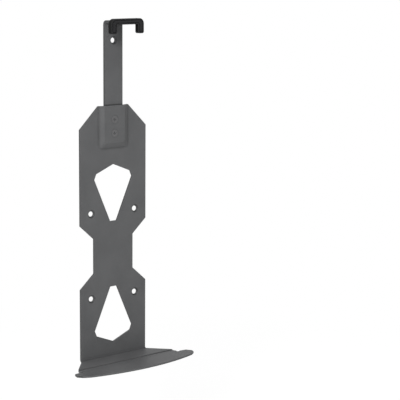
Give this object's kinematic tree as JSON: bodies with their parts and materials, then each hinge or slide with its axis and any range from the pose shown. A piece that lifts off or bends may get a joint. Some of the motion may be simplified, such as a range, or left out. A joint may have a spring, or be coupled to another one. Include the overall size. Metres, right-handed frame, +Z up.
{
  "type": "game console wall mount",
  "caption": "Flat folded steel wall plate with a curved shelf at its foot and a strap that rises to a rubber-covered two-pronged hook.",
  "frame": {"origin": "centre of the four wall holes, on the wall side of the plate", "axes": "+Z up along the plate, -Y out of the wall towards the viewer, +X to the viewer's right"},
  "size_m": [0.1708, 0.0705, 0.401],
  "materials": {
    "coated_steel": "fine textured matt powder coat",
    "boot_rubber": "moulded satin",
    "screw_black": "black oxide"
  },
  "bodies": {
    "root": {"wall_plate": "coated_steel", "hanger_strap": "coated_steel", "hook_boot": "boot_rubber", "upper_screw": "screw_black", "lower_screw": "screw_black"}
  },
  "joints": []
}
